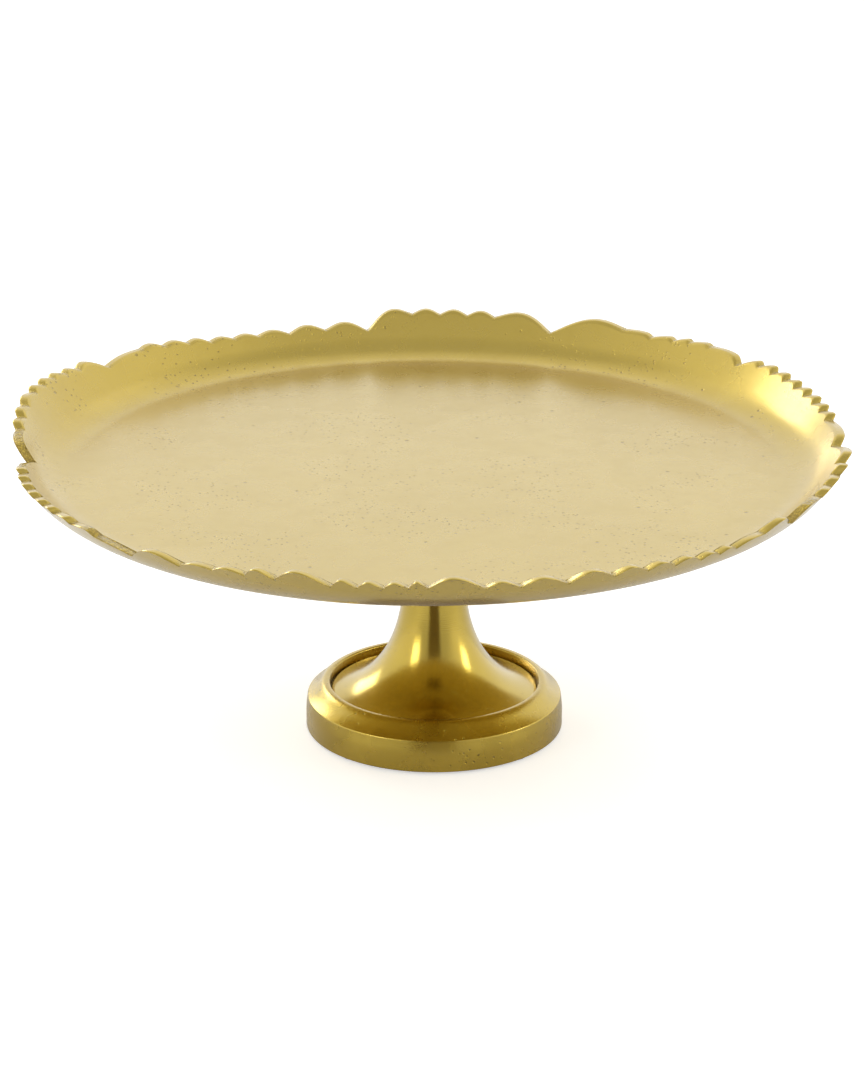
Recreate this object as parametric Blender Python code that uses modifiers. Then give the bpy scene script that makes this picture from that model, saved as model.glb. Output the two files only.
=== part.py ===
"""A cake stand: a cast plate with a hand-cut wavy rim, on a hollow trumpet column and a moulded foot ring.

One long bolt, from under the foot, clamps the foot ring and the column against the plate.
Metres, +Z up, the table at z = 0 and the plate's centre on Z.
"""

import math

import bmesh
import bpy
from mathutils import Matrix, Vector
from mathutils.geometry import interpolate_bezier

MM = 0.001
GAP = 0.3 * MM  # kept between pieces that rest on each other
ARRIS = 1.0 * MM  # bevel on machined and cast edges
FOOT_AXIS = Vector((3.2 * MM, -1.0 * MM, 0))  # the plate isn't quite centred on its foot

# Felt pads, which the foot stands on
PAD_RADIUS = 6.5 * MM
PAD_THICKNESS = 1.2 * MM
PAD_CIRCLE = 54.5 * MM
PAD_COUNT = 4
FOOT_Z = PAD_THICKNESS + GAP

# Foot ring. Heights are from its underside, at FOOT_Z
SKIRT_RADIUS = 63.5 * MM
SKIRT_HEIGHT = 16.3 * MM
SHOULDER_RADIUS = 62.4 * MM
LIP_RADIUS = 51.7 * MM
LIP_HEIGHT = 23.2 * MM
LIP_FLAT = 1.7 * MM  # from the lip's inner edge to where the shoulder starts to fall
RECESS_RADIUS = 45.0 * MM
WEB_UNDER_Z = FOOT_Z + 11.0 * MM
WEB_TOP_Z = FOOT_Z + 15.7 * MM

# Column
COLUMN_Z = WEB_TOP_Z + GAP
NECK_RADIUS = 15.0 * MM
NECK_Z = FOOT_Z + 82.5 * MM  # where the neck starts to spread into the bell
NECK_TOP_Z = FOOT_Z + 116 * MM
HEAD_RADIUS = 21.0 * MM
BELL_RADIUS = 50.0 * MM
BELL_Z = FOOT_Z + 19.3 * MM
SEAT_RADIUS = 51.0 * MM
SEAT_INNER_RADIUS = 46.0 * MM
BORE_RADIUS = 11.8 * MM

# Plate
PLATE_UNDER_Z = FOOT_Z + 128.5 * MM
FLOOR_Z = PLATE_UNDER_Z + 4.0 * MM
RIM_Z = FOOT_Z + 147.3 * MM  # the line that the rim's heights are measured from
RIM_RADIUS = 200.6 * MM  # the rim's outer edge on that line
RIM_WIDTH = 4.6 * MM
WALL_SLOPE = math.radians(52)
INNER_FILLET = 24 * MM
OUTER_FILLET = 36 * MM
BOSS_RADIUS = 11.5 * MM
BOSS_Z = PLATE_UNDER_Z - 13 * MM
BOSS_HOLE_DEPTH = 12.4 * MM

# Clamp bolt and washers
BOLT_RADIUS = 4.0 * MM
BOLT_LENGTH = 120 * MM
BOLT_HOLE_RADIUS = 4.5 * MM
WASHER_HOLE_RADIUS = 4.3 * MM
FLAT_WASHER_RADIUS = 12.0 * MM
FLAT_WASHER_THICKNESS = 2.0 * MM
SPRING_WASHER_RADIUS = 7.4 * MM
SPRING_WASHER_THICKNESS = 1.6 * MM
SPLIT_WIDTH = 1.2 * MM
SPLIT_SLANT = math.radians(25)
HEX_RADIUS = 7.5 * MM  # to a corner
HEX_HEIGHT = 5.3 * MM
FLAT_WASHER_Z = WEB_UNDER_Z - GAP - FLAT_WASHER_THICKNESS
SPRING_WASHER_Z = FLAT_WASHER_Z - GAP - SPRING_WASHER_THICKNESS
HEX_TOP_Z = SPRING_WASHER_Z - GAP

# The rim, anticlockwise from +X. Each row starts at a notch, and is:
# (angle in degrees, notch height in mm from RIM_Z, scallops before the next row, their rise in mm)
RIM_RUNS = (
    (8.2, 1.2, 7, 2.2),
    (32.2, 4.4, 1, 2.2),
    (36.6, 1.6, 1, 2.4),
    (43.3, 5.4, 1, 0.9),
    (47.1, 5.0, 1, 1.1),
    (50.0, 4.0, 1, 1.2),
    (54.1, 3.3, 1, 1.0),
    (58.8, 4.6, 1, 5.0),
    (70.8, -1.4, 1, 4.8),
    (79.9, 3.8, 3, 2.2),
    (92.4, 4.6, 1, 5.2),
    (99.5, -2.4, 1, 3.5),
    (106.1, -0.9, 1, 2.8),
    (111.9, -1.0, 1, 2.0),
    (117.1, -0.2, 2, 1.4),
    (125.3, 0.8, 1, 1.7),
    (129.2, 2.4, 2, 1.6),
    (137.7, 4.8, 1, 0.8),
    (145.6, 2.4, 1, 3.0),
    (151.6, 6.0, 2, 1.5),
    (158.1, 7.6, 2, 1.7),
    (164.6, 7.2, 1, 1.9),
    (169.2, 5.4, 2, 1.9),
    (176.2, 1.3, 1, 4.4),
    (182.6, -8.6, 1, 0.6),
    (187.4, -4.4, 1, 1.8),
    (191.0, -4.2, 4, 1.9),
    (207.6, -0.8, 1, 2.0),
    (210.9, -0.9, 1, 2.4),
    (215.6, -1.2, 1, 2.8),
    (221.0, -2.4, 1, 0.6),
    (227.6, -6.4, 1, 6.2),
    (236.4, -3.8, 1, 2.4),
    (241.8, -1.3, 1, 2.4),
    (246.4, -1.4, 1, 4.6),
    (250.5, -1.2, 1, 6.7),
    (257.8, -2.4, 1, 4.2),
    (261.2, -2.2, 1, 3.5),
    (264.5, -1.7, 1, 3.2),
    (267.7, -1.3, 1, 3.8),
    (270.1, -1.0, 1, 6.4),
    (277.4, -1.9, 1, 3.5),
    (281.9, -2.4, 1, 4.7),
    (288.2, -3.0, 1, 5.6),
    (294.5, -2.3, 1, 4.2),
    (299.3, -2.8, 1, 3.6),
    (303.6, -3.2, 1, 3.4),
    (308.0, -4.3, 1, 2.6),
    (311.4, -4.2, 1, 2.4),
    (314.5, -4.1, 1, 1.6),
    (319.6, -1.2, 1, 5.6),
    (325.4, -2.0, 1, 0.0),
    (328.0, -5.2, 1, 6.8),
    (336.5, -0.8, 2, 2.2),
    (344.5, 1.0, 1, 3.6),
    (349.0, 0.8, 1, 4.4),
    (358.6, -1.4, 1, 3.0),
)
SCALLOP_ROUNDING = 1.15  # 1 gives cusped notches, and more gives rounder ones
WIDE_SCALLOP = 5.0  # degrees, from which a scallop gets more facets
FACETS = 4
WIDE_FACETS = 6
INNER_SHARES = (0.0, 0.24, 0.48, 0.74, 1.0)  # where the facets meet along the wall's inner side
OUTER_SHARES = (0.0, 0.24, 0.48, 0.74, 1.0)

GOLD = ((0.63, 0.46, 0.15), 0.36, 1.0)
PALE_GOLD = ((0.72, 0.58, 0.28), 0.40, 1.0)
STEEL = ((0.55, 0.55, 0.56), 0.34, 1.0)
FELT = ((0.05, 0.045, 0.04), 0.95, 0.0)


def clear_scene():
    for obj in list(bpy.data.objects):
        bpy.data.objects.remove(obj)


def new_collection(name):
    collection = bpy.data.collections.new(name)
    bpy.context.scene.collection.children.link(collection)
    return collection


def new_material(name, colour, roughness, metallic):
    material = bpy.data.materials.new(name)
    material.use_nodes = True
    shader = material.node_tree.nodes["Principled BSDF"]
    shader.inputs["Base Color"].default_value = (*colour, 1.0)
    shader.inputs["Roughness"].default_value = roughness
    shader.inputs["Metallic"].default_value = metallic
    return material


def add_object(name, mesh, collection):
    obj = bpy.data.objects.new(name, mesh)
    collection.objects.link(obj)
    return obj


def add_from_bmesh(name, shape, collection):
    mesh = bpy.data.meshes.new(name)
    shape.to_mesh(mesh)
    shape.free()
    return add_object(name, mesh, collection)


def bake_modifiers(obj):
    """Gives the object its evaluated mesh, and clears its modifiers."""
    graph = bpy.context.evaluated_depsgraph_get()
    mesh = bpy.data.meshes.new_from_object(obj.evaluated_get(graph))
    obj.modifiers.clear()
    obj.data = mesh
    mesh.name = obj.name


def combine(obj, other, operation):
    """Unites the other solid with this one, or cuts it away, and removes the other."""
    boolean = obj.modifiers.new("Combine", "BOOLEAN")
    boolean.object = other
    boolean.operation = operation
    boolean.solver = "EXACT"
    bake_modifiers(obj)
    bpy.data.objects.remove(other)


def turned(name, profile, steps, collection, ring=True):
    """A solid of revolution on the foot's axis. The profile's (radius, z) points run down the outer
    side and, on a ring, back up the inner side to the start."""
    mesh = bpy.data.meshes.new(name)
    edges = [(i, i + 1) for i in range(len(profile) - 1)]
    if ring:
        edges.append((len(profile) - 1, 0))
    mesh.from_pydata([(radius, 0, z) for radius, z in profile], edges, [])
    obj = add_object(name, mesh, collection)
    obj.location = FOOT_AXIS
    screw = obj.modifiers.new("Turn", "SCREW")
    screw.steps = steps
    screw.render_steps = steps
    screw.use_merge_vertices = True
    screw.merge_threshold = 0.00001
    bake_modifiers(obj)
    return obj


def curve(start, start_handle, end_handle, end, points):
    """(radius, z) points along a Bezier curve, its two ends among them."""
    knots = [Vector((*p, 0)) for p in (start, start_handle, end_handle, end)]
    return [(p.x, p.y) for p in interpolate_bezier(*knots, points)]


def finish(obj, material):
    obj.data.materials.clear()
    obj.data.materials.append(material)
    obj.data.shade_smooth()
    obj.data.set_sharp_from_angle(angle=math.radians(35))


# --- Plate -------------------------------------------------------------------------------------


def rim_stations():
    """(angle in radians, height above RIM_Z) round the rim, with one at each notch and crest."""
    stations = []
    for row, (start, low, scallops, rise) in enumerate(RIM_RUNS):
        end, next_low = RIM_RUNS[(row + 1) % len(RIM_RUNS)][:2]
        width = (end - start) % 360
        facets = WIDE_FACETS if width / scallops > WIDE_SCALLOP else FACETS
        for i in range(scallops * facets):
            share = i / (scallops * facets)
            hump = abs(math.sin(math.pi * scallops * share)) ** SCALLOP_ROUNDING
            height = low + (next_low - low) * share + rise * hump
            stations.append((math.radians(start + width * share), height * MM))
    return stations


def wall_point(flat_z, fillet, radius_at_rim_line, rim_z, share):
    """A (radius, z) point up one side of the wall: a fillet out of the flat, then a straight flare."""
    fillet_top_z = flat_z + fillet * (1 - math.cos(WALL_SLOPE))
    fillet_top_radius = radius_at_rim_line - (RIM_Z - fillet_top_z) / math.tan(WALL_SLOPE)
    fillet_length = fillet * WALL_SLOPE
    length = fillet_length + (rim_z - fillet_top_z) / math.sin(WALL_SLOPE)
    if rim_z < fillet_top_z:
        length = fillet * math.acos(1 - (rim_z - flat_z) / fillet)
    along = share * length
    if along < fillet_length:
        turn = along / fillet
        centre_radius = fillet_top_radius - fillet * math.sin(WALL_SLOPE)
        return centre_radius + fillet * math.sin(turn), flat_z + fillet * (1 - math.cos(turn))
    flare = along - fillet_length
    return (
        fillet_top_radius + flare * math.cos(WALL_SLOPE),
        fillet_top_z + flare * math.sin(WALL_SLOPE),
    )


def wall_section(height):
    """The wall's section where the rim has this height: up the inner side, then down the outer."""
    rim_z = RIM_Z + height
    inner_radius = RIM_RADIUS - RIM_WIDTH
    inner = [wall_point(FLOOR_Z, INNER_FILLET, inner_radius, rim_z, share) for share in INNER_SHARES]
    outer = [wall_point(PLATE_UNDER_Z, OUTER_FILLET, RIM_RADIUS, rim_z, share) for share in OUTER_SHARES]
    return inner + outer[::-1]


def build_plate(collection):
    """The dish, lofted through the sections of its wall, with a tapped boss under the foot's axis."""
    dish = bmesh.new()
    rings = []
    for angle, height in rim_stations():
        out = Vector((math.cos(angle), math.sin(angle), 0))
        points = [out * radius + Vector((0, 0, z)) for radius, z in wall_section(height)]
        rings.append([dish.verts.new(point) for point in points])
    for ring, following in zip(rings, rings[1:] + rings[:1]):
        for k in range(len(ring) - 1):
            dish.faces.new((ring[k], ring[k + 1], following[k + 1], following[k]))
    dish.faces.new([ring[0] for ring in rings])
    dish.faces.new([ring[-1] for ring in rings])
    bmesh.ops.recalc_face_normals(dish, faces=dish.faces)
    plate = add_from_bmesh("plate", dish, collection)

    inside_z = (PLATE_UNDER_Z + FLOOR_Z) / 2
    boss = [
        (0, inside_z),
        (BOSS_RADIUS, inside_z),
        (BOSS_RADIUS, BOSS_Z + ARRIS),
        (BOSS_RADIUS - ARRIS, BOSS_Z),
        (BOLT_HOLE_RADIUS, BOSS_Z),
        (BOLT_HOLE_RADIUS, BOSS_Z + BOSS_HOLE_DEPTH),
        (0, BOSS_Z + BOSS_HOLE_DEPTH),
    ]
    combine(plate, turned("boss", boss, 32, collection, ring=False), "UNION")
    return plate


# --- Column ------------------------------------------------------------------------------------


def build_column(collection):
    """A hollow trumpet. Its bore takes the plate's boss, and its seat stands on the foot ring's web."""
    top_z = PLATE_UNDER_Z - GAP
    head = curve(
        (HEAD_RADIUS, top_z - ARRIS),
        (NECK_RADIUS + 1.5 * MM, top_z - 1.5 * ARRIS),
        (NECK_RADIUS, top_z - 8 * MM),
        (NECK_RADIUS, NECK_TOP_Z),
        6,
    )
    bell = curve(
        (NECK_RADIUS, NECK_Z),
        (NECK_RADIUS, FOOT_Z + 44 * MM),
        (29 * MM, FOOT_Z + 24 * MM),
        (BELL_RADIUS, BELL_Z),
        13,
    )
    hollow = curve(
        (SEAT_INNER_RADIUS, COLUMN_Z),
        (26 * MM, FOOT_Z + 19 * MM),
        (BORE_RADIUS, FOOT_Z + 38 * MM),
        (BORE_RADIUS, NECK_Z),
        9,
    )
    seat = [(SEAT_RADIUS, BELL_Z - 1.2 * MM), (SEAT_RADIUS, COLUMN_Z)]
    top = [(BORE_RADIUS, top_z), (HEAD_RADIUS - 0.5 * ARRIS, top_z)]
    return turned("column", head + bell + seat + hollow + top, 48, collection)


# --- Foot ring ---------------------------------------------------------------------------------


def build_foot_ring(collection):
    """A skirt, an ogee shoulder up to a lip round the column's edge, and a web that the column stands on."""
    arris_z = FOOT_Z + SKIRT_HEIGHT
    lip_z = FOOT_Z + LIP_HEIGHT
    shoulder = curve(
        (LIP_RADIUS + LIP_FLAT, lip_z),
        (LIP_RADIUS + 4.6 * MM, lip_z),
        (SHOULDER_RADIUS - 5.6 * MM, arris_z + 4.0 * MM),
        (SHOULDER_RADIUS, arris_z),
        8,
    )
    skirt = [
        (SHOULDER_RADIUS + 0.5 * MM, arris_z - 0.6 * MM),
        (SKIRT_RADIUS, arris_z - 7 * MM),
        (SKIRT_RADIUS, FOOT_Z + 0.8 * MM),
        (SKIRT_RADIUS - 0.6 * MM, FOOT_Z),
    ]
    recess = [(RECESS_RADIUS, FOOT_Z), (RECESS_RADIUS, WEB_UNDER_Z - 2 * ARRIS)]
    web = [
        (RECESS_RADIUS - 2 * ARRIS, WEB_UNDER_Z),
        (BOLT_HOLE_RADIUS, WEB_UNDER_Z),
        (BOLT_HOLE_RADIUS, WEB_TOP_Z),
        (LIP_RADIUS, WEB_TOP_Z),
    ]
    lip = [(LIP_RADIUS, lip_z - 0.7 * MM), (LIP_RADIUS + 0.6 * MM, lip_z)]
    return turned("foot_ring", shoulder + skirt + recess + web + lip, 60, collection)


# --- Clamp bolt, washers and pads --------------------------------------------------------------


def build_clamp_bolt(collection):
    shank = [
        (0, HEX_TOP_Z + BOLT_LENGTH),
        (BOLT_RADIUS - ARRIS, HEX_TOP_Z + BOLT_LENGTH),
        (BOLT_RADIUS, HEX_TOP_Z + BOLT_LENGTH - ARRIS),
        (BOLT_RADIUS, HEX_TOP_Z - HEX_HEIGHT / 2),
        (0, HEX_TOP_Z - HEX_HEIGHT / 2),
    ]
    bolt = turned("clamp_bolt", shank, 24, collection, ring=False)
    head = bmesh.new()
    bmesh.ops.create_cone(
        head,
        cap_ends=True,
        segments=6,
        radius1=HEX_RADIUS,
        radius2=HEX_RADIUS,
        depth=HEX_HEIGHT,
        matrix=Matrix.Translation((0, 0, HEX_TOP_Z - HEX_HEIGHT / 2)),
    )
    underside = [e for e in head.edges if max(v.co.z for v in e.verts) < HEX_TOP_Z - HEX_HEIGHT / 2]
    bmesh.ops.bevel(head, geom=underside, offset=0.6 * ARRIS, segments=1, affect="EDGES")
    hex_head = add_from_bmesh("hex_head", head, collection)
    hex_head.location = FOOT_AXIS
    combine(bolt, hex_head, "UNION")
    return bolt


def build_washer(name, base_z, radius, thickness, collection):
    edge = 0.2 * MM
    section = [
        (radius - edge, base_z + thickness),
        (radius, base_z + thickness - edge),
        (radius, base_z + edge),
        (radius - edge, base_z),
        (WASHER_HOLE_RADIUS, base_z),
        (WASHER_HOLE_RADIUS, base_z + thickness),
    ]
    return turned(name, section, 32, collection)


def build_spring_washer(collection, cutters):
    """A washer cut through on a slant, so that its two ends bite."""
    washer = build_washer(
        "spring_washer", SPRING_WASHER_Z, SPRING_WASHER_RADIUS, SPRING_WASHER_THICKNESS, collection
    )
    middle = Vector((SPRING_WASHER_RADIUS, 0, SPRING_WASHER_Z + SPRING_WASHER_THICKNESS / 2))
    size = Matrix.Diagonal((2 * SPRING_WASHER_RADIUS, SPLIT_WIDTH, 4 * SPRING_WASHER_THICKNESS, 1))
    slot = bmesh.new()
    bmesh.ops.create_cube(
        slot, size=1, matrix=Matrix.Translation(middle) @ Matrix.Rotation(SPLIT_SLANT, 4, "X") @ size
    )
    split = add_from_bmesh("split", slot, cutters)
    split.location = FOOT_AXIS
    combine(washer, split, "DIFFERENCE")
    return washer


def build_pads(collection):
    edge = 0.25 * MM
    section = [
        (0, PAD_THICKNESS),
        (PAD_RADIUS, PAD_THICKNESS),
        (PAD_RADIUS, edge),
        (PAD_RADIUS - edge, 0),
        (0, 0),
    ]
    pads = []
    for i in range(PAD_COUNT):
        pad = turned(f"felt_pad_{i + 1}", section, 24, collection, ring=False)
        turn = math.tau * (i + 0.5) / PAD_COUNT
        pad.location += PAD_CIRCLE * Vector((math.cos(turn), math.sin(turn), 0))
        pads.append(pad)
    return pads


def main():
    clear_scene()
    stand = new_collection("cake_stand")
    cutters = new_collection("cutters")
    gold = new_material("gold_cast", *GOLD)
    pale_gold = new_material("gold_plate", *PALE_GOLD)
    steel = new_material("steel", *STEEL)
    felt = new_material("felt", *FELT)

    finish(build_plate(stand), pale_gold)
    finish(build_column(stand), gold)
    finish(build_foot_ring(stand), gold)
    finish(build_clamp_bolt(stand), steel)
    finish(
        build_washer("flat_washer", FLAT_WASHER_Z, FLAT_WASHER_RADIUS, FLAT_WASHER_THICKNESS, stand),
        steel,
    )
    finish(build_spring_washer(stand, cutters), steel)
    for pad in build_pads(stand):
        finish(pad, felt)


main()
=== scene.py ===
"""The looks of a gold cast cake stand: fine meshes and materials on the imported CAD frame, on a table."""

import math

import bmesh
import bpy
import numpy as np
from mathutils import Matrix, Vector, noise
from mathutils.geometry import interpolate_bezier


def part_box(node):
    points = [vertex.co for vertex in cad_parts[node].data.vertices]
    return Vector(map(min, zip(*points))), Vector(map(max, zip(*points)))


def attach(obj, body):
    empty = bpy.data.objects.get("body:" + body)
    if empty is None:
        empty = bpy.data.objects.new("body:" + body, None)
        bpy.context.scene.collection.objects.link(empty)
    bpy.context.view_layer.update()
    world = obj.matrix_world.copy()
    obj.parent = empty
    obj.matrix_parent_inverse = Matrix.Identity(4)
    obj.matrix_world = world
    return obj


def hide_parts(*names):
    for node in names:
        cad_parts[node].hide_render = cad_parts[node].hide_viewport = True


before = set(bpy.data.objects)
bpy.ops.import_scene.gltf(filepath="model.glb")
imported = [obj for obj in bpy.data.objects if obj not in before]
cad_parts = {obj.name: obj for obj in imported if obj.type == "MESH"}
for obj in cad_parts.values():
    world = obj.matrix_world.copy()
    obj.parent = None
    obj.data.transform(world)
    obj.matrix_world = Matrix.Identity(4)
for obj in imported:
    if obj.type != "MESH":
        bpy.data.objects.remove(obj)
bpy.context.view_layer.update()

MM = 0.001

# Levels and radii that the frame gives
FOOT_LOW, FOOT_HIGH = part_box("foot_ring")
COLUMN_LOW, COLUMN_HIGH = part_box("column")
PLATE_LOW, PLATE_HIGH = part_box("plate")
GAP = 0.3 * MM
FOOT_Z = FOOT_LOW.z
FOOT_AXIS = Vector(((FOOT_LOW.x + FOOT_HIGH.x) / 2, (FOOT_LOW.y + FOOT_HIGH.y) / 2, 0))
PLATE_UNDER_Z = COLUMN_HIGH.z + GAP
SKIRT_RADIUS = FOOT_HIGH.x - FOOT_AXIS.x
SEAT_RADIUS = COLUMN_HIGH.x - FOOT_AXIS.x

# The plate, as in the CAD model
PLATE_THICKNESS = 4.0 * MM
FLOOR_Z = PLATE_UNDER_Z + PLATE_THICKNESS
RIM_Z = FOOT_Z + 147.3 * MM
RIM_RADIUS = 200.6 * MM
RIM_WIDTH = 4.6 * MM
WALL_SLOPE = math.radians(52)
INNER_FILLET = 24 * MM
OUTER_FILLET = 36 * MM
SCALLOP_ROUNDING = 1.15

# Column
NECK_RADIUS = 15.0 * MM
NECK_Z = FOOT_Z + 82.5 * MM  # where the neck starts to spread into the bell
NECK_TOP_Z = FOOT_Z + 116 * MM
HEAD_RADIUS = 21.0 * MM
BELL_RADIUS = 50.0 * MM
BELL_Z = FOOT_Z + 19.3 * MM
SEAT_INNER_RADIUS = 46.0 * MM
BORE_RADIUS = 11.8 * MM

# Foot ring
SHOULDER_RADIUS = 62.4 * MM
SHOULDER_Z = FOOT_Z + 16.3 * MM
LIP_RADIUS = 51.7 * MM
LIP_FLAT = 1.7 * MM  # from the lip's inner edge to where the shoulder starts to fall
RECESS_RADIUS = 45.0 * MM
WEB_UNDER_Z = FOOT_Z + 11.0 * MM
WEB_TOP_Z = FOOT_Z + 15.7 * MM
BOLT_HOLE_RADIUS = 4.5 * MM

# Rows of (degrees, notch height in mm from RIM_Z, scallops to the next row, their rise in mm).
# Most of the degrees and heights are measurements of the photograph that a separate fitting script made.
RIM_RUNS = (
    (8.2, 1.2, 7, 2.2),
    (32.2, 4.4, 1, 2.2),
    (36.6, 1.6, 1, 2.4),
    (43.3, 5.4, 1, 0.9),
    (47.1, 5.0, 1, 1.1),
    (50.0, 4.0, 1, 1.2),
    (54.1, 3.3, 1, 1.0),
    (58.8, 4.6, 1, 5.0),
    (70.8, -1.4, 1, 4.8),
    (79.9, 3.8, 3, 2.2),
    (92.4, 4.6, 1, 5.2),
    (99.5, -2.4, 1, 3.5),
    (106.1, -0.9, 1, 2.8),
    (111.9, -1.0, 1, 2.0),
    (117.1, -0.2, 2, 1.4),
    (125.3, 0.8, 1, 1.7),
    (129.2, 2.4, 2, 1.6),
    (137.7, 4.8, 1, 0.8),
    (145.6, 2.4, 1, 3.0),
    (151.6, 6.0, 2, 1.5),
    (158.1, 7.6, 2, 1.7),
    (164.6, 7.2, 1, 1.9),
    (169.2, 5.4, 2, 1.9),
    (176.2, 1.3, 1, 4.4),
    (182.6, -8.6, 1, 0.6),
    (187.4, -4.4, 1, 1.8),
    (191.0, -4.2, 4, 1.9),
    (207.6, -0.8, 1, 2.0),
    (210.9, -0.9, 1, 2.4),
    (215.6, -1.2, 1, 2.8),
    (221.0, -2.4, 1, 0.6),
    (227.6, -6.4, 1, 6.2),
    (236.4, -3.8, 1, 2.4),
    (241.8, -1.3, 1, 2.4),
    (246.4, -1.4, 1, 4.6),
    (250.5, -1.2, 1, 6.7),
    (257.8, -2.4, 1, 4.2),
    (261.2, -2.2, 1, 3.5),
    (264.5, -1.7, 1, 3.2),
    (267.7, -1.3, 1, 3.8),
    (270.1, -1.0, 1, 6.4),
    (277.4, -1.9, 1, 3.5),
    (281.9, -2.4, 1, 4.7),
    (288.2, -3.0, 1, 5.6),
    (294.5, -2.3, 1, 4.2),
    (299.3, -2.8, 1, 3.6),
    (303.6, -3.2, 1, 3.4),
    (308.0, -4.3, 1, 2.6),
    (311.4, -4.2, 1, 2.4),
    (314.5, -4.1, 1, 1.6),
    (319.6, -1.2, 1, 5.6),
    (325.4, -2.0, 1, 0.0),
    (328.0, -5.2, 1, 6.8),
    (336.5, -0.8, 2, 2.2),
    (344.5, 1.0, 1, 3.6),
    (349.0, 0.8, 1, 4.4),
    (358.6, -1.4, 1, 3.0),
)
# Stretches where the file leant: (first degree, last degree, the crest's place along its scallop)
LEANS = (
    (0.0, 57.0, 0.26),
    (144.0, 177.0, 0.62),
    (186.0, 219.0, 0.83),
    (236.0, 319.0, 0.43),
    (328.0, 360.0, 0.24),
)
# Stretches of the rim left rough from the file: (first degree, last degree, how rough)
FILED_RAMPS = ((176.8, 183.6, 1.0), (218.5, 229.0, 0.9), (325.5, 333.5, 0.9))
STATION_SPACING = 0.2  # degrees, at most, between the plate's sections
ARRIS = 0.9 * MM  # rounding of the rim's two edges

WHITE = (0.80, 0.80, 0.80)
FLOOR_GLOW = 0.55  # lightens the shadow that the camera sees, and not what the metal reflects
GOLD = (0.54, 0.39, 0.054)


# --- Plate -------------------------------------------------------------------------------------


def rim_stations():
    """Arrays of the angle, the height above RIM_Z and the nearness of a notch, round the rim."""
    angles, heights, notches = [], [], []
    for row, (start, low, scallops, rise) in enumerate(RIM_RUNS):
        end, next_low = RIM_RUNS[(row + 1) % len(RIM_RUNS)][:2]
        width = (end - start) % 360
        steps = math.ceil(width / scallops / STATION_SPACING / 2) * 2
        crest = next((place for first, last, place in LEANS if first <= start < last), 0.5)
        for i in range(scallops * steps):
            share = i / (scallops * steps)
            across = (i % steps) / steps
            leant = across / crest / 2 if across < crest else 1 - (1 - across) / (1 - crest) / 2
            wave = abs(math.sin(math.pi * leant))
            angles.append(math.radians(start + width * share))
            heights.append((low + (next_low - low) * share + rise * wave**SCALLOP_ROUNDING) * MM)
            notches.append(1 - wave)
    return np.array(angles), np.array(heights), np.array(notches)


def wall_side(flat_z, fillet, radius_at_rim_line, rim_z, fillet_steps, flare_steps):
    """Radius and z, stations by points, up one side of the wall: its fillet, then its straight flare."""
    top_z = flat_z + fillet * (1 - math.cos(WALL_SLOPE))
    top_radius = radius_at_rim_line - (RIM_Z - top_z) / math.tan(WALL_SLOPE)
    centre_radius = top_radius - fillet * math.sin(WALL_SLOPE)
    fillet_length = fillet * WALL_SLOPE
    length = fillet_length + (rim_z - top_z) / math.sin(WALL_SLOPE)
    arc = fillet * np.arccos(1 - np.minimum(rim_z - flat_z, top_z - flat_z) / fillet)
    length = np.where(rim_z < top_z, arc, length)
    knee = np.minimum(fillet_length, length * 0.97)
    shares = np.linspace(0, 1, fillet_steps + 1)[None, :-1]
    along = np.hstack(
        [
            knee[:, None] * shares,
            knee[:, None] + (length - knee)[:, None] * np.linspace(0, 1, flare_steps + 1)[None],
        ]
    )
    turn = np.minimum(along, fillet_length) / fillet
    flare = np.maximum(along - fillet_length, 0)
    radius = centre_radius + fillet * np.sin(turn) + flare * math.cos(WALL_SLOPE)
    z = flat_z + fillet * (1 - np.cos(turn)) + flare * math.sin(WALL_SLOPE)
    return radius, z


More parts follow.
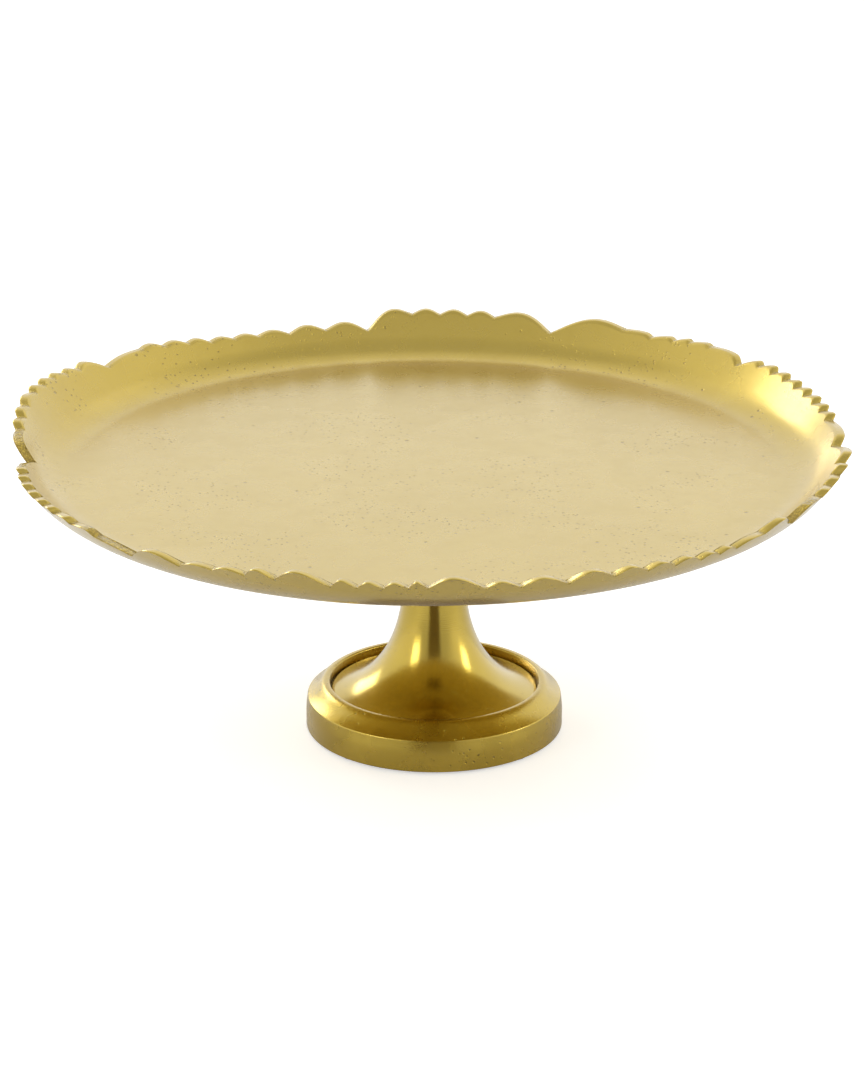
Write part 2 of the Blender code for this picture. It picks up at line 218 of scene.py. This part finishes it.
def build_plate():
    angles, heights, notches = rim_stations()
    stations = len(angles)
    rim_z = RIM_Z + heights
    inner_r, inner_z = wall_side(FLOOR_Z, INNER_FILLET, RIM_RADIUS - RIM_WIDTH, rim_z, 8, 14)
    outer_r, outer_z = wall_side(PLATE_UNDER_Z, OUTER_FILLET, RIM_RADIUS, rim_z, 8, 14)

    # The edge face between them, with both arrises rounded over
    across = np.array((0.0, 0.05, 0.14, 0.27, 0.42, 0.58, 0.73, 0.86, 0.95, 1.0))
    drop = ARRIS * (np.abs(2 * across - 1) ** 5) * 0.55
    edge_r = inner_r[:, -1:] + (outer_r[:, -1:] - inner_r[:, -1:]) * across[None]
    edge_z = np.repeat(rim_z[:, None], len(across), 1) - drop[None]
    inner_z[:, -1] -= drop[0]
    outer_z[:, -1] -= drop[-1]

    floor_radii = np.array((0.0, 40, 80, 115, 145, 160)) * MM
    floor_r = np.repeat(floor_radii[None], stations, 0)
    floor_z = np.full_like(floor_r, FLOOR_Z)
    under_r = floor_r[:, :0:-1]
    under_z = np.full_like(under_r, PLATE_UNDER_Z)

    radius = np.hstack([floor_r, inner_r, edge_r[:, 1:-1], outer_r[:, ::-1], under_r])
    z = np.hstack([floor_z, inner_z, edge_z[:, 1:-1], outer_z[:, ::-1], under_z])
    edge_first = floor_r.shape[1] + inner_r.shape[1] - 1
    edge_last = edge_first + len(across) - 1

    # How freshly filed each point of the edge is
    degrees = np.degrees(angles) % 360
    filed = 0.55 * notches**3
    for first, last, amount in FILED_RAMPS:
        inside = np.clip(np.minimum(degrees - first, last - degrees) / 0.8, 0, 1)
        filed = np.maximum(filed, amount * inside)
    wear = np.zeros_like(radius)
    wear[:, edge_first : edge_last + 1] = filed[:, None]

    # File strokes: small facets across the edge
    for i in range(stations):
        for j in range(edge_first + 1, edge_last):
            if wear[i, j] < 0.05:
                continue
            arc = angles[i] * RIM_RADIUS
            cut = noise.noise(Vector((arc * 900, (radius[i, j] - radius[i, edge_first]) * 260, 3.0)))
            z[i, j] += wear[i, j] * (0.40 * cut - 0.16) * MM

    # The CAD plate's facets cut a few corners, and the fine one stays in its box
    x = np.clip(radius * np.cos(angles)[:, None], PLATE_LOW.x, PLATE_HIGH.x)
    y = np.clip(radius * np.sin(angles)[:, None], PLATE_LOW.y, PLATE_HIGH.y)
    grid = np.stack([x, y, z], -1)
    return lofted("plate_skin", grid, "filed", wear)


def lofted(name, grid, label, values):
    """A closed skin over a grid of stations by points, with one number at each point as an attribute.

    Every station shares its first point, and the last points meet in a centre point of their own.
    """
    stations, points = grid.shape[:2]
    first = grid[:, 0].mean(0)
    last = np.array((0.0, 0.0, grid[0, -1, 2]))
    body = grid[:, 1:].reshape(-1, 3)
    vertices = np.vstack([body, first, last])
    per = points - 1
    index = np.arange(stations * per).reshape(stations, per)
    following = np.roll(index, -1, 0)
    quads = np.stack([index[:, :-1], following[:, :-1], following[:, 1:], index[:, 1:]], -1)
    quads = quads.reshape(-1, 4)
    start, end = len(body), len(body) + 1
    faces = [tuple(q) for q in quads.tolist()]
    faces += [(start, int(following[i, 0]), int(index[i, 0])) for i in range(stations)]
    faces += [(end, int(index[i, -1]), int(following[i, -1])) for i in range(stations)]
    mesh = bpy.data.meshes.new(name)
    mesh.from_pydata(vertices.tolist(), [], faces)
    flat = np.append(values[:, 1:].reshape(-1), (0.0, 0.0)).astype(np.float32)
    mesh.attributes.new(label, "FLOAT", "POINT").data.foreach_set("value", flat)
    tidy = bmesh.new()
    tidy.from_mesh(mesh)
    bmesh.ops.recalc_face_normals(tidy, faces=tidy.faces)
    tidy.to_mesh(mesh)
    tidy.free()
    mesh.shade_smooth()
    obj = bpy.data.objects.new(name, mesh)
    bpy.context.scene.collection.objects.link(obj)
    return obj


# --- Column and foot ring ----------------------------------------------------------------------


def curve(start, start_handle, end_handle, end, points):
    """(radius, z) points along a Bezier curve, its two ends among them."""
    knots = [Vector((*p, 0)) for p in (start, start_handle, end_handle, end)]
    return [(p.x, p.y) for p in interpolate_bezier(*knots, points)]


def turned(name, profile, steps):
    """A ring on the foot's axis, from (radius, z) points down its outer side and up its inner."""
    mesh = bpy.data.meshes.new(name)
    edges = [(i, (i + 1) % len(profile)) for i in range(len(profile))]
    mesh.from_pydata([(radius, 0, z) for radius, z in profile], edges, [])
    obj = bpy.data.objects.new(name, mesh)
    bpy.context.scene.collection.objects.link(obj)
    obj.location = FOOT_AXIS
    screw = obj.modifiers.new("Turn", "SCREW")
    screw.steps = steps
    screw.render_steps = steps
    screw.use_merge_vertices = True
    screw.merge_threshold = 0.00001
    graph = bpy.context.evaluated_depsgraph_get()
    skin = bpy.data.meshes.new_from_object(obj.evaluated_get(graph))
    obj.modifiers.clear()
    obj.data = skin
    skin.shade_smooth()
    skin.set_sharp_from_angle(angle=math.radians(40))
    return obj


def build_column():
    top_z = COLUMN_HIGH.z
    head = curve(
        (HEAD_RADIUS, top_z - 1 * MM),
        (NECK_RADIUS + 1.5 * MM, top_z - 1.5 * MM),
        (NECK_RADIUS, top_z - 8 * MM),
        (NECK_RADIUS, NECK_TOP_Z),
        24,
    )
    bell = curve(
        (NECK_RADIUS, NECK_Z),
        (NECK_RADIUS, FOOT_Z + 44 * MM),
        (29 * MM, FOOT_Z + 24 * MM),
        (BELL_RADIUS, BELL_Z),
        90,
    )
    seat = [
        (BELL_RADIUS + 0.5 * MM, BELL_Z - 0.35 * MM),
        (BELL_RADIUS + 0.85 * MM, BELL_Z - 0.8 * MM),
        (SEAT_RADIUS, BELL_Z - 1.3 * MM),
        (SEAT_RADIUS, COLUMN_LOW.z),
    ]
    hollow = curve(
        (SEAT_INNER_RADIUS, COLUMN_LOW.z),
        (26 * MM, FOOT_Z + 19 * MM),
        (BORE_RADIUS, FOOT_Z + 38 * MM),
        (BORE_RADIUS, NECK_Z),
        40,
    )
    top = [
        (BORE_RADIUS, top_z),
        (HEAD_RADIUS - 0.5 * MM, top_z),
        (HEAD_RADIUS - 0.15 * MM, top_z - 0.3 * MM),
    ]
    return turned("column_skin", head + bell + seat + hollow + top, 256)


def build_foot_ring():
    lip_z = FOOT_HIGH.z
    shoulder = curve(
        (LIP_RADIUS + LIP_FLAT, lip_z),
        (LIP_RADIUS + 4.6 * MM, lip_z),
        (SHOULDER_RADIUS - 5.6 * MM, SHOULDER_Z + 4.0 * MM),
        (SHOULDER_RADIUS - 0.1 * MM, SHOULDER_Z + 0.06 * MM),
        40,
    )
    arris = curve(
        (SHOULDER_RADIUS + 0.06 * MM, SHOULDER_Z - 0.04 * MM),
        (SHOULDER_RADIUS + 0.3 * MM, SHOULDER_Z - 0.2 * MM),
        (SHOULDER_RADIUS + 0.42 * MM, SHOULDER_Z - 0.4 * MM),
        (SHOULDER_RADIUS + 0.47 * MM, SHOULDER_Z - 0.8 * MM),
        8,
    )
    skirt = curve(
        (SHOULDER_RADIUS + 0.55 * MM, SHOULDER_Z - 1.6 * MM),
        (SHOULDER_RADIUS + 0.75 * MM, SHOULDER_Z - 3.6 * MM),
        (SKIRT_RADIUS, SHOULDER_Z - 5.5 * MM),
        (SKIRT_RADIUS, SHOULDER_Z - 8 * MM),
        14,
    )
    foot = curve(
        (SKIRT_RADIUS, FOOT_Z + 1.0 * MM),
        (SKIRT_RADIUS, FOOT_Z + 0.45 * MM),
        (SKIRT_RADIUS - 0.3 * MM, FOOT_Z),
        (SKIRT_RADIUS - 0.8 * MM, FOOT_Z),
        6,
    )
    recess = [(RECESS_RADIUS + 0.4 * MM, FOOT_Z), (RECESS_RADIUS, FOOT_Z + 0.4 * MM)]
    web = curve(
        (RECESS_RADIUS, WEB_UNDER_Z - 2.5 * MM),
        (RECESS_RADIUS, WEB_UNDER_Z - 1 * MM),
        (RECESS_RADIUS - 1 * MM, WEB_UNDER_Z),
        (RECESS_RADIUS - 2.5 * MM, WEB_UNDER_Z),
        8,
    )
    hole = [(BOLT_HOLE_RADIUS, WEB_UNDER_Z), (BOLT_HOLE_RADIUS, WEB_TOP_Z)]
    groove = [(LIP_RADIUS - 0.3 * MM, WEB_TOP_Z), (LIP_RADIUS, WEB_TOP_Z + 0.3 * MM)]
    lip = curve(
        (LIP_RADIUS, lip_z - 1.0 * MM),
        (LIP_RADIUS, lip_z - 0.4 * MM),
        (LIP_RADIUS + 0.4 * MM, lip_z),
        (LIP_RADIUS + 1.0 * MM, lip_z),
        8,
    )
    profile = shoulder + arris + skirt + foot + recess + web + hole + groove + lip
    return turned("foot_skin", profile, 288)


# --- Materials ---------------------------------------------------------------------------------


class Shade:
    """A material's node tree, with short calls for the nodes that these materials use."""

    def __init__(self, name):
        self.material = bpy.data.materials.new(name)
        self.material.use_nodes = True
        self.tree = self.material.node_tree
        self.shader = self.tree.nodes["Principled BSDF"]
        self.place = self.tree.nodes.new("ShaderNodeTexCoord").outputs["Object"]

    def link(self, value, socket):
        if isinstance(value, bpy.types.NodeSocket):
            self.tree.links.new(value, socket)
        else:
            socket.default_value = value

    def noise(self, scale, detail=2.0, roughness=0.5, distortion=0.0, stretch=None):
        node = self.tree.nodes.new("ShaderNodeTexNoise")
        place = self.place
        if stretch:
            mapping = self.tree.nodes.new("ShaderNodeMapping")
            mapping.inputs["Scale"].default_value = stretch
            self.link(place, mapping.inputs["Vector"])
            place = mapping.outputs["Vector"]
        self.link(place, node.inputs["Vector"])
        node.inputs["Scale"].default_value = scale
        node.inputs["Detail"].default_value = detail
        node.inputs["Roughness"].default_value = roughness
        node.inputs["Distortion"].default_value = distortion
        return node.outputs["Fac"]

    def specks(self, scale, size):
        """1 inside small round specks, one to a cell, and 0 outside."""
        node = self.tree.nodes.new("ShaderNodeTexVoronoi")
        self.link(self.place, node.inputs["Vector"])
        node.inputs["Scale"].default_value = scale
        node.inputs["Randomness"].default_value = 1.0
        return self.ramp(node.outputs["Distance"], size, size * 0.35, 0.0, 1.0)

    def ramp(self, value, low, high, out_low=0.0, out_high=1.0):
        node = self.tree.nodes.new("ShaderNodeMapRange")
        node.interpolation_type = "SMOOTHSTEP"
        for socket, number in zip(node.inputs[1:5], (low, high, out_low, out_high)):
            socket.default_value = number
        self.link(value, node.inputs["Value"])
        return node.outputs["Result"]

    def math(self, operation, a, b=0.0):
        node = self.tree.nodes.new("ShaderNodeMath")
        node.operation = operation
        self.link(a, node.inputs[0])
        self.link(b, node.inputs[1])
        return node.outputs["Value"]

    def mix(self, amount, a, b):
        node = self.tree.nodes.new("ShaderNodeMix")
        node.data_type = "RGBA"
        self.link(amount, node.inputs["Factor"])
        for value, socket in ((a, node.inputs["A"]), (b, node.inputs["B"])):
            self.link(value if isinstance(value, bpy.types.NodeSocket) else (*value, 1.0), socket)
        return node.outputs["Result"]

    def attribute(self, name):
        node = self.tree.nodes.new("ShaderNodeAttribute")
        node.attribute_name = name
        return node.outputs["Fac"]

    def bump(self, height, distance, strength=1.0, below=None):
        node = self.tree.nodes.new("ShaderNodeBump")
        self.link(strength, node.inputs["Strength"])
        node.inputs["Distance"].default_value = distance
        self.link(height, node.inputs["Height"])
        if below:
            self.link(below, node.inputs["Normal"])
        return node.outputs["Normal"]

    def finish(self, colour, roughness, normal, metallic=1.0, coat=0.0, coat_roughness=0.2):
        self.link(colour, self.shader.inputs["Base Color"])
        self.link(roughness, self.shader.inputs["Roughness"])
        self.link(normal, self.shader.inputs["Normal"])
        self.shader.inputs["Metallic"].default_value = metallic
        self.shader.inputs["Coat Weight"].default_value = coat
        self.shader.inputs["Coat Roughness"].default_value = coat_roughness
        return self.material


def plate_gold():
    """Lacquered gold on a sand casting: cloudy, finely pitted, and bright where it is filed."""
    s = Shade("plate_gold_satin")
    clouds = s.noise(7, 3, 0.55)
    mottle = s.noise(90, 4, 0.6)
    colour = s.mix(s.ramp(clouds, 0.35, 0.65), GOLD, (0.57, 0.415, 0.066))
    colour = s.mix(s.ramp(mottle, 0.45, 0.7, 0.0, 0.25), colour, (0.50, 0.35, 0.042))

    patches = s.ramp(s.noise(16, 2, 0.5), 0.46, 0.60)
    pits = s.math("MULTIPLY", s.specks(330, 0.24), patches)
    large = s.math("MULTIPLY", s.specks(95, 0.11), s.ramp(s.noise(23, 1), 0.47, 0.57))
    pits = s.math("MAXIMUM", pits, large)
    colour = s.mix(s.math("MULTIPLY", pits, 0.65), colour, (0.26, 0.18, 0.025))

    filed = s.attribute("filed")
    strokes = s.noise(1100, 3, 0.7)
    scratched = s.math("MULTIPLY", filed, s.ramp(strokes, 0.44, 0.56, 0.75, 0.0))
    colour = s.mix(scratched, colour, (0.30, 0.20, 0.018))
    roughness = s.ramp(s.noise(45, 3), 0.3, 0.7, 0.25, 0.31)
    roughness = s.math("SUBTRACT", roughness, s.math("MULTIPLY", filed, 0.16))
    grain = s.noise(1500, 2, 0.6)
    normal = s.bump(grain, 0.00006)
    normal = s.bump(s.noise(34, 1), 0.00018, below=normal)
    normal = s.bump(s.math("SUBTRACT", 0.0, pits), 0.0003, below=normal)
    normal = s.bump(strokes, 0.0016, filed, below=normal)
    return s.finish(colour, roughness, normal, coat=1.0, coat_roughness=0.20)


def column_gold():
    """The same gold, turned smooth and better polished."""
    s = Shade("column_gold_smooth")
    clouds = s.noise(22, 3, 0.55)
    colour = s.mix(s.ramp(clouds, 0.35, 0.65), (0.53, 0.375, 0.038), (0.57, 0.41, 0.046))
    pits = s.math("MULTIPLY", s.specks(420, 0.16), s.ramp(s.noise(40, 1), 0.52, 0.62))
    colour = s.mix(s.math("MULTIPLY", pits, 0.6), colour, (0.24, 0.16, 0.02))
    roughness = s.ramp(s.noise(70, 3), 0.3, 0.7, 0.16, 0.21)
    turning = s.noise(1, 2, 0.5, stretch=(20, 20, 2600))
    normal = s.bump(turning, 0.00003)
    normal = s.bump(s.noise(55, 1), 0.00016, below=normal)
    normal = s.bump(s.math("SUBTRACT", 0.0, pits), 0.0002, below=normal)
    return s.finish(colour, roughness, normal, coat=1.0, coat_roughness=0.18)


def foot_gold():
    """The same gold on a rougher casting, with open grain on the skirt."""
    s = Shade("foot_gold_grainy")
    clouds = s.noise(30, 3, 0.6)
    colour = s.mix(s.ramp(clouds, 0.35, 0.65), (0.51, 0.36, 0.036), (0.58, 0.415, 0.05))
    pits = s.math("MULTIPLY", s.specks(300, 0.22), s.ramp(s.noise(45, 2), 0.5, 0.62))
    large = s.math("MULTIPLY", s.specks(120, 0.10), s.ramp(s.noise(37, 1), 0.52, 0.6))
    pits = s.math("MAXIMUM", pits, large)
    colour = s.mix(s.math("MULTIPLY", pits, 0.7), colour, (0.22, 0.15, 0.02))
    roughness = s.ramp(s.noise(60, 4), 0.3, 0.7, 0.22, 0.32)
    normal = s.bump(s.noise(1000, 3, 0.65), 0.00010)
    normal = s.bump(s.noise(60, 1), 0.00022, below=normal)
    normal = s.bump(s.math("SUBTRACT", 0.0, pits), 0.0003, below=normal)
    return s.finish(colour, roughness, normal, coat=1.0, coat_roughness=0.22)


def zinc_steel():
    s = Shade("zinc_steel")
    colour = s.mix(s.ramp(s.noise(260, 4, 0.6), 0.35, 0.65), (0.52, 0.53, 0.55), (0.64, 0.64, 0.63))
    roughness = s.ramp(s.noise(500, 3), 0.3, 0.7, 0.26, 0.42)
    normal = s.bump(s.noise(1, 2, stretch=(900, 900, 90)), 0.00008)
    return s.finish(colour, roughness, normal)


def black_felt():
    s = Shade("black_felt")
    fibres = s.noise(2600, 5, 0.75, 1.2)
    colour = s.mix(s.ramp(fibres, 0.35, 0.65), (0.025, 0.023, 0.021), (0.085, 0.08, 0.072))
    normal = s.bump(fibres, 0.0004)
    material = s.finish(colour, s.ramp(fibres, 0.3, 0.7, 0.88, 0.98), normal, metallic=0.0)
    s.shader.inputs["Sheen Weight"].default_value = 0.4
    return material


def table_white():
    s = Shade("table_white")
    colour = s.mix(s.ramp(s.noise(3, 2), 0.3, 0.7), WHITE, (0.83, 0.83, 0.83))
    normal = s.bump(s.noise(700, 2), 0.00004)
    material = s.finish(colour, 0.65, normal, metallic=0.0)
    seen = s.tree.nodes.new("ShaderNodeLightPath").outputs["Is Camera Ray"]
    s.shader.inputs["Emission Color"].default_value = (1.0, 1.0, 1.0, 1.0)
    s.link(s.math("MULTIPLY", seen, FLOOR_GLOW), s.shader.inputs["Emission Strength"])
    return material


# --- Stage -------------------------------------------------------------------------------------

# The sky's strength by a direction's height, then by its depth: (from, to, strength at each)
WORLD_OVERHEAD = (0.55, 0.93, 1.10, 0.64)
WORLD_FRONT = (-0.85, -0.45, 0.60, 1.0)


def build_floor():
    shape = bmesh.new()
    bmesh.ops.create_grid(shape, x_segments=8, y_segments=8, size=6.0)
    mesh = bpy.data.meshes.new("table")
    shape.to_mesh(mesh)
    shape.free()
    floor = bpy.data.objects.new("table", mesh)
    bpy.context.scene.collection.objects.link(floor)
    mesh.materials.append(table_white())


def build_flag():
    """A dark card in front of the column, which only reflections see."""
    mesh = bpy.data.meshes.new("flag")
    half, low, high, y = 36 * MM, 1 * MM, 102 * MM, -130 * MM
    corners = [(-half, y, low), (half, y, low), (half, y, high), (-half, y, high)]
    mesh.from_pydata([Vector(corner) + FOOT_AXIS for corner in corners], [], [(0, 1, 2, 3)])
    flag = bpy.data.objects.new("flag", mesh)
    bpy.context.scene.collection.objects.link(flag)
    s = Shade("flag_black")
    felt = s.mix(s.ramp(s.noise(90, 3), 0.3, 0.7), (0.28, 0.23, 0.18), (0.33, 0.27, 0.21))
    mesh.materials.append(s.finish(felt, 0.9, s.bump(s.noise(900, 2), 0.0001), metallic=0.0))
    flag.visible_camera = False
    flag.visible_diffuse = False
    flag.visible_shadow = False


def aim(obj, target):
    obj.rotation_euler = (Vector(target) - obj.location).to_track_quat("-Z", "Y").to_euler()


def add_light(name, place, target, size, radiance, glossy=True):
    """A rectangular softbox of this radiance, whatever its size."""
    light = bpy.data.lights.new(name, "AREA")
    light.shape = "RECTANGLE"
    light.size, light.size_y = size
    light.energy = radiance * math.pi * size[0] * size[1]
    obj = bpy.data.objects.new(name, light)
    bpy.context.scene.collection.objects.link(obj)
    obj.location = place
    obj.visible_camera = False
    obj.visible_glossy = glossy
    aim(obj, target)


def build_world():
    """White round the horizon, dimmer overhead and dimmest high in front."""
    world = bpy.data.worlds.new("studio")
    world.use_nodes = True
    bpy.context.scene.world = world
    tree = world.node_tree
    direction = tree.nodes.new("ShaderNodeTexCoord").outputs["Generated"]
    split = tree.nodes.new("ShaderNodeSeparateXYZ")
    tree.links.new(direction, split.inputs["Vector"])

    def ramp(value, low, high, out_low, out_high):
        node = tree.nodes.new("ShaderNodeMapRange")
        node.interpolation_type = "SMOOTHSTEP"
        for socket, number in zip(node.inputs[1:5], (low, high, out_low, out_high)):
            socket.default_value = number
        tree.links.new(value, node.inputs["Value"])
        return node.outputs["Result"]

    overhead = ramp(split.outputs["Z"], *WORLD_OVERHEAD)
    front = ramp(split.outputs["Y"], *WORLD_FRONT)
    product = tree.nodes.new("ShaderNodeMath")
    product.operation = "MULTIPLY"
    tree.links.new(overhead, product.inputs[0])
    tree.links.new(front, product.inputs[1])
    background = tree.nodes["Background"]
    tree.links.new(product.outputs["Value"], background.inputs["Strength"])
    background.inputs["Color"].default_value = (1.0, 0.995, 0.985, 1.0)


def build_lights():
    add_light("left_box", (-1.12, 1.33, 0.82), (0, 0, 0.13), (0.75, 0.5), 3.7)
    add_light("front_left_box", (-1.20, -1.02, 0.64), (0, 0, 0.06), (0.5, 0.5), 3.6)
    add_light("right_box", (1.62, -0.26, 0.66), (0, 0, 0.06), (0.42, 0.5), 4.2)
    add_light("back_high_box", (0, 1.0, 1.50), (0, 0, 0.14), (2.6, 0.9), 0.26)
    add_light("front_high_box", (0, -1.05, 1.6), (0, 0, 0.14), (0.9, 0.8), 0.10)
    add_light("overhead", (0, 0.4, 2.4), (0, 0.2, 0), (3.0, 3.0), 0.30, glossy=False)


def build_camera():
    """A long lens, looking down at the stand from just above the rim."""
    data = bpy.data.cameras.new("camera")
    data.sensor_width = 36.0
    data.lens = 118.63
    data.clip_end = 50
    camera = bpy.data.objects.new("camera", data)
    bpy.context.scene.collection.objects.link(camera)
    camera.location = (0.003, -1.6357, 0.6919)
    aim(camera, (0.0021, -0.001, 0.0977))
    bpy.context.scene.camera = camera


# --- The stand ---------------------------------------------------------------------------------


def dress(piece, material, node):
    piece.data.materials.clear()
    piece.data.materials.append(material)
    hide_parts(node)
    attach(piece, "root")


def rematerial(node, material):
    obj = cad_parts[node]
    for slot in obj.material_slots:
        slot.material = material


build_camera()
build_world()
build_lights()
build_floor()
build_flag()

dress(build_plate(), plate_gold(), "plate")
dress(build_column(), column_gold(), "column")
dress(build_foot_ring(), foot_gold(), "foot_ring")
steel = zinc_steel()
for node in ("clamp_bolt", "spring_washer", "flat_washer"):
    rematerial(node, steel)
felt = black_felt()
for number in range(1, 5):
    rematerial(f"felt_pad_{number}", felt)

bpy.context.scene.view_settings.view_transform = "Standard"
